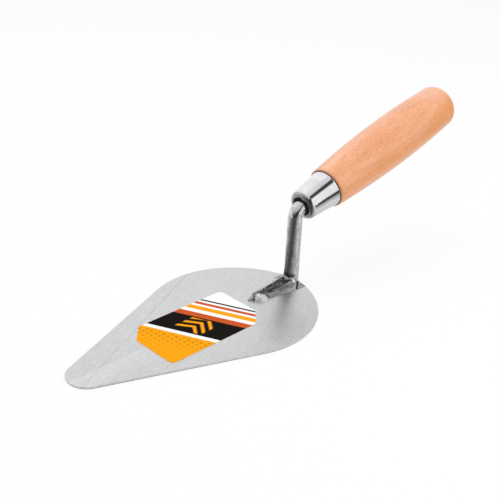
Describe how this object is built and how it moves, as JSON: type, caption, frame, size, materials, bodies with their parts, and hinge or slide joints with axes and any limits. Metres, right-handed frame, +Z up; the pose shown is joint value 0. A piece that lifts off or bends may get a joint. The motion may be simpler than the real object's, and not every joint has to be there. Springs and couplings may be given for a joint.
{
  "type": "brick trowel",
  "caption": "Pointed brick trowel with a round-shouldered steel blade, a cranked round shank welded to the heel, a plated ferrule and a turned wooden handle.",
  "frame": {"origin": "on the blade's underside, below the shank's upright", "axes": "+X from the blade toward the handle's butt, +Z up from the blade's face, +Y across the blade"},
  "size_m": [0.3249, 0.1, 0.1088],
  "materials": {
    "blade_steel": "satin ground sheet steel",
    "shank_steel": "polished round, forged and ground foot",
    "weld_metal": "cleaned weld beads",
    "ferrule_chrome": "bright plated",
    "handle_wood": "turned beech, satin lacquer",
    "label_paper": "printed label, satin"
  },
  "bodies": {
    "root": {"blade": "blade_steel", "shank": "shank_steel", "weld_nose": "weld_metal", "weld_sides": "weld_metal", "weld_heel": "weld_metal", "ferrule": "ferrule_chrome", "handle": "handle_wood", "label": "label_paper"}
  },
  "joints": []
}
